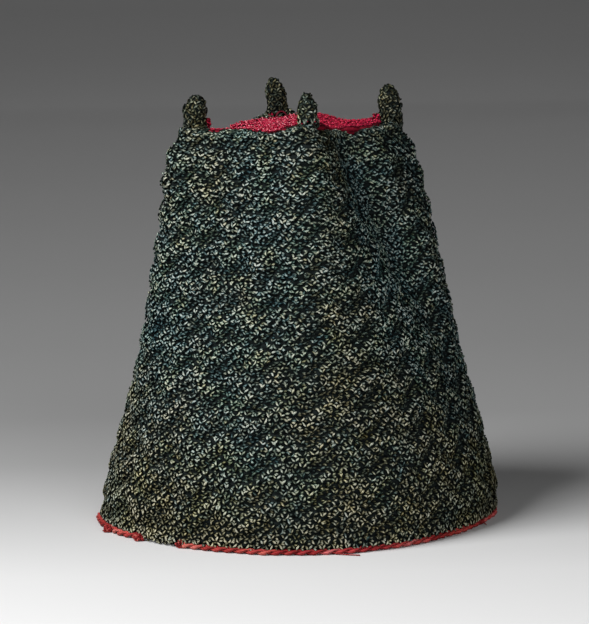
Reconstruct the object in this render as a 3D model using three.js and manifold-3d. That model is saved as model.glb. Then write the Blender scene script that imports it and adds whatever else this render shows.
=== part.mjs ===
// A tall four-cornered hat: a knotted wall that flares from a square top to a round hem, a red
// crown panel over the top, a stubby knotted peak on each corner, and a red cord sewn along the
// hem with one worn gap. Millimetres, +Z up. The origin is on the floor under the middle of the
// round base, the sides of the square top lie along X and Y, and the hat stands on its hem.
import * as THREE from 'three';
import { mergeVertices } from 'three/addons/utils/BufferGeometryUtils.js';
import Module from 'manifold-3d';

// Driving sizes
const rimHeight = 171.8;
const topHalfSide = 36;
const topCornerCut = 2.4;
const baseHalfSide = 84.5;
const baseCornerReach = 3;
const centreShift = 2.4;
const wallThickness = 2.6;
const ribHeight = 1.4;
const ribPitch = 13;
const zigzagHeight = 10;
const dentDepth = 9;
const cornerRise = 4;
const sideWave = 2.5;
const crownEdge = 0.8;
const crownThickness = 3;
const crownRise = 2.8;
const crownDip = 2.5;
const crownTuck = 0.6;
const peakHeight = 15;
const peakWidth = 10.5;
const peakInset = 5.5;
const hemCordHeight = 2.2;
const hemCordWidth = 2.6;
const hemCordTuck = 1;
const clearance = 0.3;

// How many zigzags go round the wall, and how finely the forms are faceted
const zigzagCount = 20;
const columnsPerZigzag = 4;
const columnCount = zigzagCount * columnsPerZigzag;
const insideRowCount = 12;
const cordSides = 8;
const peakSides = 10;

// How short the way is over which the rim comes up to a corner, and bends between the corners
const cornerSharpness = 24;
const sideSharpness = 16;

// Which way the crown's dip lies from its middle, in degrees about +Z, and how narrow it is
const crownDipPlace = -150;
const crownDipSharpness = 4;

// The worn gap in the hem cord, as the angles of its two sides about +Z, in degrees
const cordGapStart = -104;
const cordGapEnd = -92;

// The wall from the hem to the rim. height is a share of rimHeight. side is how far the middle
// of a side has gone from topHalfSide to baseHalfSide, and corner how far a corner has gone
// from topCornerDistance to baseCornerDistance. power is 2 for corners that are round and more
// for tighter ones. shift is the share of centreShift by which the section's centre stands
// towards the +X +Y corner.
const wallSections = [
  { height: 0.00, side: 1.00, corner: 1.00, power: 2.5, shift: 0.1 },
  { height: 0.06, side: 1.01, corner: 0.99, power: 2.5, shift: 0.5 },
  { height: 0.20, side: 0.89, corner: 0.84, power: 2.5, shift: 0.8 },
  { height: 0.40, side: 0.64, corner: 0.60, power: 3.0, shift: 0.8 },
  { height: 0.60, side: 0.41, corner: 0.43, power: 4.0, shift: 0.8 },
  { height: 0.78, side: 0.24, corner: 0.29, power: 6.0, shift: 0.7 },
  { height: 0.90, side: 0.12, corner: 0.21, power: 8.0, shift: 0.4 },
  { height: 1.00, side: 0.00, corner: 0.00, power: 10.0, shift: 0.0 },
];

// The dent in the +X side. height is a share of rimHeight. valley, near and far are shares of
// the section's half side: where the bottom of the dent runs, and how far its slopes reach
// towards -Y and +Y. depth is a share of dentDepth.
const dentSections = [
  { height: 0.26, valley: 0.30, near: 0.26, far: 0.20, depth: 0.00 },
  { height: 0.42, valley: 0.33, near: 0.34, far: 0.24, depth: 0.30 },
  { height: 0.54, valley: 0.33, near: 0.45, far: 0.28, depth: 0.75 },
  { height: 0.66, valley: 0.24, near: 0.55, far: 0.32, depth: 1.00 },
  { height: 0.80, valley: 0.05, near: 0.66, far: 0.40, depth: 1.00 },
  { height: 0.92, valley: -0.14, near: 0.68, far: 0.48, depth: 0.90 },
  { height: 1.00, valley: -0.20, near: 0.64, far: 0.50, depth: 0.70 },
];

// How the top edge bends between the corners. place is an angle about +Z in degrees, and rise
// is a share of sideWave, less than 0 where the edge sags.
const rimBends = [
  { place: -95, rise: 0.8 },
  { place: 0, rise: 0.2 },
  { place: 108, rise: 0.7 },
  { place: -175, rise: -1.0 },
];

// One peak for each corner. corner is the angle of its corner about +Z in degrees. rise is the
// share of cornerRise by which the rim comes up to it, height and width are shares of
// peakHeight and peakWidth, and leanX and leanY are how far its tip leans for each millimetre
// of its height.
const peaks = [
  { name: 'peak_front', corner: -45, rise: 1.4, height: 0.84, width: 0.92, leanX: -0.04, leanY: -0.03 },
  { name: 'peak_left', corner: -135, rise: 0.5, height: 0.92, width: 1.06, leanX: 0.06, leanY: 0.04 },
  { name: 'peak_back', corner: 135, rise: 0.9, height: 1.06, width: 0.94, leanX: -0.12, leanY: -0.08 },
  { name: 'peak_right', corner: 45, rise: 0.6, height: 1.00, width: 1.03, leanX: -0.04, leanY: -0.03 },
];

// The outline of a peak. height is a share of its height, and radius a share of half its width.
const peakSections = [
  { height: 0.00, radius: 1.04 },
  { height: 0.22, radius: 0.98 },
  { height: 0.48, radius: 1.00 },
  { height: 0.70, radius: 0.90 },
  { height: 0.87, radius: 0.66 },
  { height: 0.97, radius: 0.32 },
];

// The top's corners are those of a square, cut back. The hem is nearly round, and its corners
// reach a little farther out than its sides.
const topCornerDistance = topHalfSide * Math.SQRT2 - topCornerCut;
const baseCornerDistance = baseHalfSide + baseCornerReach;
const hemLevel = hemCordHeight + clearance;

// How far out the crown starts to lie on the rim, a little inside the wall
const crownSeat = 1 - 1.5 * wallThickness / topHalfSide;

const wholeTurn = 2 * Math.PI;
const wasm = await Module();
wasm.setup();

// A smooth curve through the rows of a table, which gives the named columns at any height
function tableCurve(rows, columns) {
  const heights = rows.map((row) => row.height);
  const values = rows.flatMap((row) => columns.map((column) => row[column]));
  const curve = new THREE.CubicInterpolant(heights, values, columns.length);
  return (height) => {
    const inRange = THREE.MathUtils.clamp(height, heights[0], heights.at(-1));
    const found = Array.from(curve.evaluate(inRange));
    return Object.fromEntries(columns.map((column, index) => [column, found[index]]));
  };
}

const sectionAt = tableCurve(wallSections, ['side', 'corner', 'power', 'shift']);
const dentAt = tableCurve(dentSections, ['valley', 'near', 'far', 'depth']);

// How far the +X side is pushed in, at a place across it and up it. The dent is deepest along
// its valley and runs out smoothly at the end of each slope.
function dentAtPlace(across, halfSide, height) {
  const { valley, near, far, depth } = dentAt(height);
  const offset = across / halfSide - valley;
  const reach = offset < 0 ? near : far;
  const slope = THREE.MathUtils.smoothstep(1 - Math.abs(offset) / reach, 0, 1);
  return dentDepth * Math.max(depth, 0) * slope;
}

// A point of the wall's outside without its ribs. Its distance from the middle goes from
// halfSide to cornerDistance as a rounded square's does, which is |x|^power + |y|^power = 1.
function smoothPoint(angle, level) {
  const height = level / rimHeight;
  const { side, corner, power, shift } = sectionAt(height);
  const halfSide = THREE.MathUtils.lerp(topHalfSide, baseHalfSide, side);
  const cornerDistance = THREE.MathUtils.lerp(topCornerDistance, baseCornerDistance, corner);
  const cos = Math.cos(angle);
  const sin = Math.sin(angle);
  const squareRadius = (Math.abs(cos) ** power + Math.abs(sin) ** power) ** (-1 / power);
  const squareCorner = 2 ** (0.5 - 1 / power);
  const cornerShare = (squareRadius - 1) / (squareCorner - 1);
  const radius = THREE.MathUtils.lerp(halfSide, cornerDistance, cornerShare);
  const dent = cos > 0 ? dentAtPlace(radius * sin, halfSide, height) * cos : 0;
  const aside = centreShift * shift * Math.SQRT1_2;
  return new THREE.Vector3(radius * cos + aside - dent, radius * sin + aside, level);
}

// The level direction that points straight out of the wall
function outward(angle, level) {
  const step = 0.01;
  const along = smoothPoint(angle + step, level).sub(smoothPoint(angle - step, level));
  return new THREE.Vector3(along.y, -along.x, 0).normalize();
}

// A point of the wall, moved out by a distance, or in by a negative one
function wallPoint(angle, level, out) {
  return smoothPoint(angle, level).addScaledVector(outward(angle, level), out);
}

// 1 at a place round the hat, given in degrees, and 0 well away from it
function nearness(angle, place, sharpness) {
  return Math.max(Math.cos(angle - THREE.MathUtils.degToRad(place)), 0) ** sharpness;
}

// The top edge rises to each peak's foot and bends a little between the corners
function rimLevel(angle) {
  let level = rimHeight;
  for (const { corner, rise } of peaks) {
    level += cornerRise * rise * nearness(angle, corner, cornerSharpness);
  }
  for (const { place, rise } of rimBends) {
    level += sideWave * rise * nearness(angle, place, sideSharpness);
  }
  return level;
}

// How far a rib is above or below its middle at an angle. The zigzag has a crest at each
// corner, and gets lower as its width shrinks towards the rim.
function zigzag(angle, level) {
  const turns = (angle / wholeTurn - 1 / 8) * zigzagCount;
  const wave = 2 * Math.abs(turns - Math.floor(turns) - 0.5) - 0.5;
  const { corner } = sectionAt(level / rimHeight);
  const cornerDistance = THREE.MathUtils.lerp(topCornerDistance, baseCornerDistance, corner);
  return zigzagHeight * wave * cornerDistance / baseCornerDistance;
}

// The angles of the columns of points that go round the hat
const columnAngles = Array.from({ length: columnCount }, (_, index) => index / columnCount * wholeTurn);

// A ring round the wall at a share of its height. zigzagShare is how much of the zigzag it
// has, because the zigzag runs out at the hem and the rim.
function wallRing(share, zigzagShare, out) {
  return columnAngles.map((angle) => {
    const level = THREE.MathUtils.lerp(hemLevel, rimLevel(angle), share);
    return wallPoint(angle, level + zigzagShare * zigzag(angle, level), out);
  });
}

function middleOf(ring) {
  const sum = new THREE.Vector3();
  for (const point of ring) {
    sum.add(point);
  }
  return sum.divideScalar(ring.length);
}

// A closed body from rings of points, each joined to the next. Where endless is true the last
// ring is joined to the first, and otherwise a fan from the middle of each end ring closes it.
function loft(rings, endless) {
  const sides = rings[0].length;
  const points = rings.flat();
  const faces = [];
  const bandCount = endless ? rings.length : rings.length - 1;
  for (let band = 0; band < bandCount; band += 1) {
    const below = band * sides;
    const above = (band + 1) % rings.length * sides;
    for (let side = 0; side < sides; side += 1) {
      const beside = (side + 1) % sides;
      faces.push(below + side, below + beside, above + beside);
      faces.push(below + side, above + beside, above + side);
    }
  }
  if (!endless) {
    const top = (rings.length - 1) * sides;
    const start = points.push(middleOf(rings[0])) - 1;
    const end = points.push(middleOf(rings.at(-1))) - 1;
    for (let side = 0; side < sides; side += 1) {
      const beside = (side + 1) % sides;
      faces.push(start, beside, side);
      faces.push(end, top + side, top + beside);
    }
  }
  const geometry = new THREE.BufferGeometry().setFromPoints(points);
  geometry.setIndex(faces);
  return geometry;
}

// The wall goes up its ribbed outside, over the rim and down its plain inside. Every second
// ring is the crest of a rib, up to the last ring, which is the plain rim.
function makeWall() {
  const bandCount = Math.round((rimHeight - hemLevel) / ribPitch);
  const rowCount = 2 * bandCount;
  const fadeShare = zigzagHeight / rimHeight;
  const rings = [];
  for (let row = 0; row <= rowCount; row += 1) {
    const share = row / rowCount;
    const zigzagShare = Math.min(1, share / fadeShare, (1 - share) / fadeShare);
    const isCrest = row % 2 === 0 && row < rowCount;
    rings.push(wallRing(share, zigzagShare, isCrest ? ribHeight : 0));
  }
  for (let row = insideRowCount; row >= 0; row -= 1) {
    rings.push(wallRing(row / insideRowCount, 0, -wallThickness));
  }
  return loft(rings, true);
}

// Where a peak's foot stands on its corner of the rim
function peakFoot(corner) {
  const angle = THREE.MathUtils.degToRad(corner);
  const distance = topCornerDistance - peakInset;
  const level = rimLevel(angle) + clearance;
  return new THREE.Vector3(distance * Math.cos(angle), distance * Math.sin(angle), level);
}

// A peak stands on its corner and leans a little more towards its tip
function makePeak({ corner, height, width, leanX, leanY }) {
  const foot = peakFoot(corner);
  const rings = peakSections.map((section) => {
    const rise = section.height * height * peakHeight;
    const radius = section.radius * width * peakWidth / 2;
    const lean = rise * section.height;
    const ring = [];
    for (let side = 0; side < peakSides; side += 1) {
      const turn = side / peakSides * wholeTurn;
      const x = radius * Math.cos(turn) + leanX * lean;
      const y = radius * Math.sin(turn) + leanY * lean;
      ring.push(new THREE.Vector3(x, y, rise).add(foot));
    }
    return ring;
  });
  return loft(rings, false);
}

// A ring of the crown, at a share of the way out to its edge. The crown is a low dome with a
// dip halfway to one corner, and it is thicker in the middle than where it lies on the rim.
function crownRing(share, upper) {
  const insideShare = Math.min(share / crownSeat, 1);
  const middleShare = (1 - insideShare ** 2) ** 2;
  const halfwayShare = 4 * insideShare ** 2 * (1 - insideShare ** 2);
  const thickness = THREE.MathUtils.lerp(crownEdge, crownThickness, middleShare);
  return columnAngles.map((angle) => {
    const edge = wallPoint(angle, rimHeight, -crownTuck);
    const seat = THREE.MathUtils.lerp(rimHeight, rimLevel(angle), insideShare ** 3) + clearance;
    const dip = crownDip * halfwayShare * nearness(angle, crownDipPlace, crownDipSharpness);
    const top = seat + crownEdge + crownRise * middleShare - dip;
    return new THREE.Vector3(edge.x * share, edge.y * share, upper ? top : top - thickness);
  });
}

function toSolid(geometry) {
  const bare = new THREE.BufferGeometry();
  bare.setAttribute('position', geometry.getAttribute('position'));
  bare.setIndex(geometry.getIndex());
  const merged = mergeVertices(bare);
  const vertProperties = new Float32Array(merged.getAttribute('position').array);
  const triVerts = new Uint32Array(merged.getIndex().array);
  return new wasm.Manifold(new wasm.Mesh({ numProp: 3, vertProperties, triVerts }));
}

function toGeometry(solid) {
  const { vertProperties, triVerts } = solid.getMesh();
  const geometry = new THREE.BufferGeometry();
  geometry.setAttribute('position', new THREE.BufferAttribute(vertProperties, 3));
  geometry.setIndex(new THREE.BufferAttribute(triVerts, 1));
  return geometry;
}

// The space that the crown leaves for a peak's foot: round towards the middle of the hat, and
// open out past the corner
function footSlot({ corner, width }) {
  const radius = peakSections[0].radius * width * peakWidth / 2 + clearance;
  const outline = new THREE.Shape();
  outline.absarc(0, 0, radius, Math.PI / 2, 3 * Math.PI / 2, false);
  outline.lineTo(topCornerDistance, -radius);
  outline.lineTo(topCornerDistance, radius);
  const slot = new THREE.ExtrudeGeometry(outline, {
    depth: 2 * peakHeight,
    bevelEnabled: false,
    curveSegments: peakSides,
  });
  const foot = peakFoot(corner);
  slot.rotateZ(THREE.MathUtils.degToRad(corner));
  slot.translate(foot.x, foot.y, foot.z - peakHeight);
  return slot;
}

// The crown lies over the rim, and is cut back round the foot of each peak
function makeCrown() {
  const rings = [];
  for (const share of [0.35, 0.7, crownSeat, 1]) {
    rings.push(crownRing(share, false));
  }
  for (const share of [1, crownSeat, 0.7, 0.5, 0.25]) {
    rings.push(crownRing(share, true));
  }
  let crown = toSolid(loft(rings, false));
  for (const peak of peaks) {
    crown = crown.subtract(toSolid(footSlot(peak)));
  }
  return toGeometry(crown);
}

// The cord lies under the wall's edge. Its section has a flat side down, on the floor.
function makeHemCord() {
  const start = THREE.MathUtils.degToRad(cordGapEnd);
  const length = wholeTurn - THREE.MathUtils.degToRad(cordGapEnd - cordGapStart);
  const halfFlat = Math.PI / cordSides;
  const rings = [];
  for (let step = 0; step <= columnCount; step += 1) {
    const angle = start + length * step / columnCount;
    const middle = wallPoint(angle, 0, -hemCordTuck);
    const out = outward(angle, 0);
    const ring = [];
    for (let side = 0; side < cordSides; side += 1) {
      const turn = halfFlat - side / cordSides * wholeTurn;
      const across = Math.cos(turn) / Math.cos(halfFlat) * hemCordWidth / 2;
      const level = (1 + Math.sin(turn) / Math.cos(halfFlat)) * hemCordHeight / 2;
      ring.push(middle.clone().addScaledVector(out, across).setZ(level));
    }
    rings.push(ring);
  }
  return loft(rings, false);
}

function addPiece(group, name, geometry, look) {
  const piece = new THREE.Mesh(geometry, new THREE.MeshStandardMaterial(look));
  geometry.computeVertexNormals();
  piece.name = name;
  group.add(piece);
}

const darkYarn = { color: 0x1f2b26, roughness: 0.85, metalness: 0 };
const redYarn = { color: 0xa81f38, roughness: 0.85, metalness: 0 };
const redCord = { color: 0xb02a2a, roughness: 0.8, metalness: 0 };

const hat = new THREE.Group();
addPiece(hat, 'wall', makeWall(), darkYarn);
addPiece(hat, 'crown', makeCrown(), redYarn);
addPiece(hat, 'hem_cord', makeHemCord(), redCord);
for (const peak of peaks) {
  addPiece(hat, peak.name, makePeak(peak), darkYarn);
}

export default hat;
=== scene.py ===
# A tall hat of knotted wool with four corners, dressed over its solids: the knots of the wall and
# the crown, the peaks, the twisted cord under the hem, and the studio round them. Metres, +Z up.
import math

import bpy
import numpy as np
from mathutils import Matrix, Vector


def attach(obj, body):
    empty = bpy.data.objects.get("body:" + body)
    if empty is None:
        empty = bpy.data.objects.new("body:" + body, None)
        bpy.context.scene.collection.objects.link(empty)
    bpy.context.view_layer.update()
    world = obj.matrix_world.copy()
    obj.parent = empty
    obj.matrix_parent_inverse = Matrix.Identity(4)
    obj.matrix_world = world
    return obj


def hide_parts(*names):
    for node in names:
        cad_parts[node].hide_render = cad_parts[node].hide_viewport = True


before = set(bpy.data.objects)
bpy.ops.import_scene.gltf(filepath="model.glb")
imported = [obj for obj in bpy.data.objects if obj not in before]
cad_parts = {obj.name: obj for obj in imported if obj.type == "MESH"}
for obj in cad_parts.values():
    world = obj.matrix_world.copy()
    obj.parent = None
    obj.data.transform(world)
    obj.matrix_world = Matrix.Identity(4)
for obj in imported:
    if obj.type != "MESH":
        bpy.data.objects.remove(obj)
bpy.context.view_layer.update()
print("frame loaded")

mm = 0.001
wholeTurn = 2 * math.pi

# The form of the hat, as its solids have it
hat = {
    "rimHeight": 171.8 * mm,
    "topHalfSide": 36 * mm,
    "topCornerCut": 2.4 * mm,
    "baseHalfSide": 84.5 * mm,
    "baseCornerReach": 3 * mm,
    "centreShift": 2.4 * mm,
    "wallThickness": 2.6 * mm,
    "ribHeight": 1.4 * mm,
    "zigzagHeight": 10 * mm,
    "zigzags": 20,
    "bands": 13,
    "dentDepth": 9 * mm,
    "cornerRise": 4 * mm,
    "sideWave": 2.5 * mm,
    "hemLevel": 2.5 * mm,
    "clearance": 0.3 * mm,
    "settle": 1.3 * mm,         # how far the knotted top edge has sunk, which the solid leaves out
    "pressed": 0.6 * mm,        # how far in the cloth under the strands lies
}
topCorner = hat["topHalfSide"] * math.sqrt(2) - hat["topCornerCut"]
baseCorner = hat["baseHalfSide"] + hat["baseCornerReach"]

# Sections up the wall. height is a share of the rim's height, side and corner go from the top's size
# to the base's, power tells how square the section is, and shift how far its middle stands aside.
wallTable = {
    "height": [0.00, 0.06, 0.20, 0.40, 0.60, 0.78, 0.90, 1.00],
    "side": [1.00, 1.01, 0.89, 0.64, 0.41, 0.24, 0.12, 0.00],
    "corner": [1.00, 0.99, 0.84, 0.60, 0.43, 0.29, 0.21, 0.00],
    "power": [2.5, 2.5, 2.5, 3.0, 4.0, 6.0, 8.0, 10.0],
    "shift": [0.1, 0.5, 0.8, 0.8, 0.8, 0.7, 0.4, 0.0],
}

# The dent in the +X side: where its valley runs, how far its slopes reach, and how deep it is
dentTable = {
    "height": [0.26, 0.42, 0.54, 0.66, 0.80, 0.92, 1.00],
    "valley": [0.30, 0.33, 0.33, 0.24, 0.05, -0.14, -0.20],
    "near": [0.26, 0.34, 0.45, 0.55, 0.66, 0.68, 0.64],
    "far": [0.20, 0.24, 0.28, 0.32, 0.40, 0.48, 0.50],
    "depth": [0.00, 0.30, 0.75, 1.00, 1.00, 0.90, 0.70],
}

# Where the top edge bends between the corners, in degrees about +Z, and how far
rimBends = [(-95, 0.8), (0, 0.2), (108, 0.7), (-175, -1.0)]

peaks = {
    "peak_front": {"corner": -45, "rise": 1.4, "height": 0.80, "width": 0.80, "lean": (-0.04, -0.03),
                   "aside": (0, 0), "pale": 0.7, "clear": 4.5, "gusset": 0.5},
    "peak_left": {"corner": -135, "rise": 0.5, "height": 0.88, "width": 1.00, "lean": (0.06, 0.04),
                  "aside": (0.4, 0.3), "pale": 0.5, "clear": 6.0, "gusset": 0.7},
    "peak_back": {"corner": 135, "rise": 0.9, "height": 1.01, "width": 0.92, "lean": (-0.11, -0.08),
                  "aside": (0.8, 0.6), "pale": 0.42, "clear": 5.0, "gusset": 1.0},
    "peak_right": {"corner": 45, "rise": 0.6, "height": 1.00, "width": 1.00, "lean": (-0.04, -0.03),
                   "aside": (0.9, 0.6), "pale": 0.4, "clear": 7.5, "gusset": 1.0},
}


def smoothTable(table, column, height):
    # Cubic between two rows of a table; a row's slope is the rise from the row before to the one after
    x = np.array(table["height"])
    y = np.array(table[column], float)
    slope = (np.append(y[1:], y[-1]) - np.append(y[0], y[:-1]))
    slope = slope / (np.append(x[1:], x[-1]) - np.append(x[0], x[:-1]))
    height = np.clip(height, x[0], x[-1])
    row = np.clip(np.searchsorted(x, height, side="right") - 1, 0, len(x) - 2)
    gap = x[row + 1] - x[row]
    t = (height - x[row]) / gap
    start = (2 * t**3 - 3 * t**2 + 1) * y[row] + (t**3 - 2 * t**2 + t) * gap * slope[row]
    end = (3 * t**2 - 2 * t**3) * y[row + 1] + (t**3 - t**2) * gap * slope[row + 1]
    return start + end


def mix(a, b, share):
    return a + (b - a) * share


def smoothStep(t):
    # 3 t^2 - 2 t^3, and level outside 0 to 1
    t = np.clip(t, 0, 1)
    return t * t * (3 - 2 * t)


def unit(vectors):
    return vectors / np.linalg.norm(vectors, axis=-1, keepdims=True)


def runAlong(path):
    # How far along a path each of its points lies
    return np.append(0, np.cumsum(np.linalg.norm(np.diff(path, axis=0), axis=1)))


def moved(place, *steps):
    # place + direction * distance + direction * distance + ...
    for direction, distance in steps:
        place = place + direction * np.reshape(distance, (-1, 1))
    return place


def joined(parts):
    return [np.concatenate(column) for column in zip(*parts)]


def cornerDistance(level):
    # From the middle to a corner: the corner column's share of the way from the top's to the base's
    return mix(topCorner, baseCorner, smoothTable(wallTable, "corner", level / hat["rimHeight"]))


def dentShare(across, height):
    # How deep the dent is at a share of the side's width from its middle: a smooth step down each slope
    offset = across - smoothTable(dentTable, "valley", height)
    near, far, depth = (smoothTable(dentTable, column, height) for column in ("near", "far", "depth"))
    return np.maximum(depth, 0) * smoothStep(1 - np.abs(offset) / np.where(offset < 0, near, far))


def smoothPoint(turn, level):
    # The wall without ribs: distance from the middle = halfSide + (corner - halfSide) * share, where
    # share follows a rounded square, |x|^power + |y|^power = 1; the dent is pushed in from +X
    height = level / hat["rimHeight"]
    halfSide = mix(hat["topHalfSide"], hat["baseHalfSide"], smoothTable(wallTable, "side", height))
    power = smoothTable(wallTable, "power", height)
    cos, sin = np.cos(turn), np.sin(turn)
    square = (np.abs(cos)**power + np.abs(sin)**power)**(-1 / power)
    share = (square - 1) / (2**(0.5 - 1 / power) - 1)
    radius = mix(halfSide, cornerDistance(level), share)
    dent = hat["dentDepth"] * dentShare(radius * sin / halfSide, height) * np.maximum(cos, 0)
    aside = hat["centreShift"] * smoothTable(wallTable, "shift", height) * math.sqrt(0.5)
    return radius * cos + aside - dent, radius * sin + aside


def wallPoint(turn, level, out):
    # smoothPoint moved out along the level normal, which is the tangent turned by a quarter
    step = 0.01
    x1, y1 = smoothPoint(turn + step, level)
    x0, y0 = smoothPoint(turn - step, level)
    length = np.hypot(x1 - x0, y1 - y0)
    x, y = smoothPoint(turn, level)
    return np.stack([x + (y1 - y0) / length * out, y - (x1 - x0) / length * out, level + 0 * x], -1)


def nearness(turn, place, sharpness):
    # 1 at a place given in degrees and 0 well away from it: cos^sharpness
    return np.maximum(np.cos(turn - math.radians(place)), 0)**sharpness


def rimLevel(turn):
    # rimHeight, raised by cornerRise * rise at each corner and bent by sideWave * rise between them
    level = hat["rimHeight"] + 0 * turn
    for peak in peaks.values():
        level = level + hat["cornerRise"] * peak["rise"] * nearness(turn, peak["corner"], 24)
    for place, rise in rimBends:
        level = level + hat["sideWave"] * rise * nearness(turn, place, 16)
    return level


# Where the knotted top edge dips between two knots, in degrees, how far in millimetres, and how sharply
edgeDips = [(-112, 0.9, 90), (-60, 0.5, 90), (-38.5, 5.0, 240), (1.2, 3.0, 260), (95, 0.6, 90),
            (160, 0.7, 90)]


def topEdge(turn):
    # The rim sunk by settle, with a narrow dip at each of the places above
    level = rimLevel(turn) - hat["settle"]
    for place, dip, sharpness in edgeDips:
        level = level - dip * mm * nearness(turn, place, sharpness)
    return level


def zigzag(turn, level):
    # A triangle wave with its crest at each corner, lower where the wall is narrower
    turns = (turn / wholeTurn - 1 / 8) * hat["zigzags"]
    wave = 2 * np.abs(turns - np.floor(turns) - 0.5) - 0.5
    rising = (turns - np.floor(turns)) > 0.5
    return hat["zigzagHeight"] * wave * cornerDistance(level) / baseCorner, rising


def ribs(turn, level):
    # How far out the rib stands at a place, 0 to 1, and how much of a rising groove it has
    top = rimLevel(turn)
    share = (level - hat["hemLevel"]) / (top - hat["hemLevel"])
    fade = hat["zigzagHeight"] / hat["rimHeight"]
    zigzagShare = np.clip(np.minimum(share, 1 - share) / fade, 0, 1)
    wave, rising = zigzag(turn, level)
    phase = (level - wave * zigzagShare - hat["hemLevel"]) / (top - hat["hemLevel"]) * hat["bands"]
    ridge = 0.5 + 0.5 * np.cos(phase * wholeTurn)
    groove = smoothStep(1.6 * (1 - ridge) - 0.5) * rising * zigzagShare
    return ridge, groove


def unevenness(turn, level):
    # The slack of hand work: a sum of slow waves round and up the wall, from -1 to 1
    up = level / hat["rimHeight"]
    waves = np.sin(7 * turn + 9 * up) + np.sin(11 * turn - 16 * up + 1.3) + np.sin(5 * turn + 23 * up + 4)
    return waves / 3


# Where the cloth is pressed in against the solid's face: degrees, share of the height, millimetres
presses = [(40, 0.86, 1.7), (-140, 0.94, -1.0)]


def clothPoint(turn, level, out=0):
    # The wall moved out by ribHeight * (ridge - a share of the groove) and by the unevenness, and in
    # where it is pressed: depth * cos^20 round the wall * exp(-(away / 0.08)^2) up it
    ridge, groove = ribs(turn, level)
    height = 0.85 * hat["ribHeight"] * (ridge - 0.35 * groove) - hat["pressed"]
    height = height + 0.4 * mm * unevenness(turn, level)
    for place, share, depth in presses:
        near = np.exp(-((level / hat["rimHeight"] - share) / 0.08)**2)
        height = height - depth * mm * nearness(turn, place, 20) * near
    return wallPoint(turn, level, height + out)


def makeMesh(name, points, corners, faceSizes):
    # corners lists the point of each corner of each face, one face after the other
    mesh = bpy.data.meshes.new(name)
    mesh.vertices.add(len(points))
    mesh.vertices.foreach_set("co", np.ascontiguousarray(points, np.float32).ravel())
    mesh.loops.add(len(corners))
    mesh.loops.foreach_set("vertex_index", np.ascontiguousarray(corners, np.int32))
    mesh.polygons.add(len(faceSizes))
    starts = np.cumsum(faceSizes) - faceSizes
    mesh.polygons.foreach_set("loop_start", np.ascontiguousarray(starts, np.int32))
    mesh.update(calc_edges=True)
    mesh.validate()
    mesh.shade_smooth()
    return mesh


def addObject(name, data):
    thing = bpy.data.objects.new(name, data)
    bpy.context.scene.collection.objects.link(thing)
    return thing


def addPiece(name, mesh, material, nodes=()):
    piece = addObject(name, mesh)
    mesh.materials.append(material)
    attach(piece, "root")
    if nodes:
        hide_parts(*nodes)


def addYarn(name, material, points, corners, sizes, uv, tint, warmth, nodes=()):
    # A piece with the map and the tints that the yarn materials read. What would go into the floor is
    # pressed flat on it.
    points[:, 2] = np.maximum(points[:, 2], 0.05 * mm)
    mesh = makeMesh(name, points, corners, sizes)
    mesh.uv_layers.new(name="strand").data.foreach_set("uv", np.ascontiguousarray(uv, np.float32).ravel())
    for key, values in (("tint", tint), ("warmth", warmth)):
        values = np.ascontiguousarray(values + np.zeros(len(points)), np.float32)
        mesh.attributes.new(key, "FLOAT", "POINT").data.foreach_set("value", values)
    addPiece(name, mesh, material, nodes)


# Node helpers for the materials

def plug(tree, socket, value):
    if isinstance(value, bpy.types.NodeSocket):
        tree.links.new(value, socket)
    else:
        socket.default_value = value


def addNode(tree, kind, inputs=None, **settings):
    node = tree.nodes.new(kind)
    for key, value in settings.items():
        setattr(node, key, value)
    for key, value in (inputs or {}).items():
        plug(tree, node.inputs[key], value)
    return node


def addMath(tree, operation, a, b, clamp=False):
    return addNode(tree, "ShaderNodeMath", {0: a, 1: b}, operation=operation, use_clamp=clamp).outputs[0]


def addMix(tree, share, a, b, blend="MIX"):
    node = addNode(tree, "ShaderNodeMix", data_type="RGBA", blend_type=blend)
    for key, value in (("Factor_Float", share), ("A_Color", a), ("B_Color", b)):
        plug(tree, next(s for s in node.inputs if s.identifier == key), value)
    return next(s for s in node.outputs if s.identifier == "Result_Color")


def addRamp(tree, factor, stops):
    node = addNode(tree, "ShaderNodeValToRGB", {"Fac": factor})
    ramp = node.color_ramp
    while len(ramp.elements) < len(stops):
        ramp.elements.new(0.5)
    for element, (place, color) in zip(ramp.elements, stops):
        element.position = place
        element.color = (*color, 1)
    return node.outputs["Color"]


def addGrey(tree, value):
    return addNode(tree, "ShaderNodeCombineColor", {0: value, 1: value, 2: value}).outputs[0]


def addRange(tree, value, low, high, start, end):
    # Runs from start to end while the value runs from low to high
    inputs = {0: value, 1: low, 2: high, 3: start, 4: end}
    return addNode(tree, "ShaderNodeMapRange", inputs).outputs[0]


def addBump(tree, shader, height, strength, distance):
    bump = addNode(tree, "ShaderNodeBump", {"Height": height, "Strength": strength, "Distance": distance})
    tree.links.new(bump.outputs[0], shader.inputs["Normal"])


def startMaterial(name, roughness, specular=0.5):
    material = bpy.data.materials.new(name)
    material.use_nodes = True
    tree = material.node_tree
    shader = tree.nodes["Principled BSDF"]
    shader.inputs["Roughness"].default_value = roughness
    shader.inputs["Specular IOR Level"].default_value = specular
    place = addNode(tree, "ShaderNodeTexCoord").outputs["Object"]
    return material, tree, shader, place


yarn = {
    "plies": 2,
    "fibreScale": 24,
    "fibreHeight": 0.35,
    # Painted light on each strand: painted shade in the furrow between two plies, painted shade falling from
    # its top to its sides, and how pale it is away from its painted highlight
    "furrowShade": 0.45,         # how dark it is between two plies
    "paintedShadeFalloff": 2.4,        # how fast a strand darkens from its top to its sides
    "lowest": 0.37,         # how pale a strand is away from its palest place, which is past its middle
    "darkest": 0.16,        # the tone of a strand without tint
}


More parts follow.
